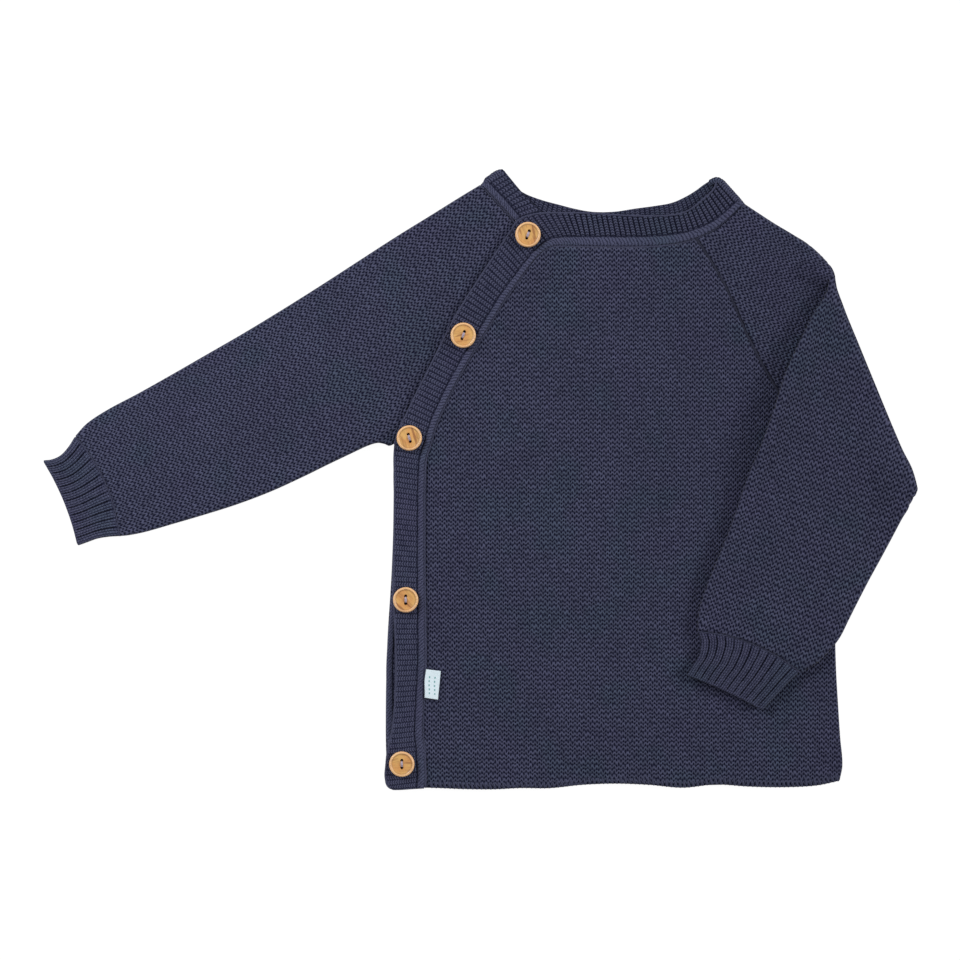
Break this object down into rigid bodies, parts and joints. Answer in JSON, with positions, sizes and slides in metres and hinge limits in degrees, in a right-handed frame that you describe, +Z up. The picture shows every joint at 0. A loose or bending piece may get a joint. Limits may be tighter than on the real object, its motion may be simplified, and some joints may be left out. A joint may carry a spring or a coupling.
{
  "type": "baby cardigan",
  "caption": "Knitted baby cardigan laid flat and buttoned: raglan sleeves, one folded over the front, ribbed bands and cuffs, a slanted opening down one side, wooden buttons.",
  "frame": {"origin": "centre of the laid-out garment's outline, on the surface it lies on", "axes": "+X towards the folded left sleeve's side, +Y from hem to neck, +Z up off the surface, the way the front faces"},
  "size_m": [0.5162, 0.3665, 0.0102],
  "materials": {
    "knit": "matt navy cotton knit, purl face",
    "rib": "matt navy cotton rib",
    "button": "smooth pale olive wood, satin",
    "label": "woven pale blue ribbon"
  },
  "bodies": {
    "root": {"back_panel": "knit", "front_panel": "knit", "right_sleeve": "knit", "left_sleeve": "knit", "right_cuff": "rib", "left_cuff": "rib", "front_band": "rib", "under_band": "rib", "back_neck_band": "rib", "button_1": "button", "button_2": "button", "button_3": "button", "button_4": "button", "button_5": "button", "side_label": "label"}
  },
  "joints": []
}
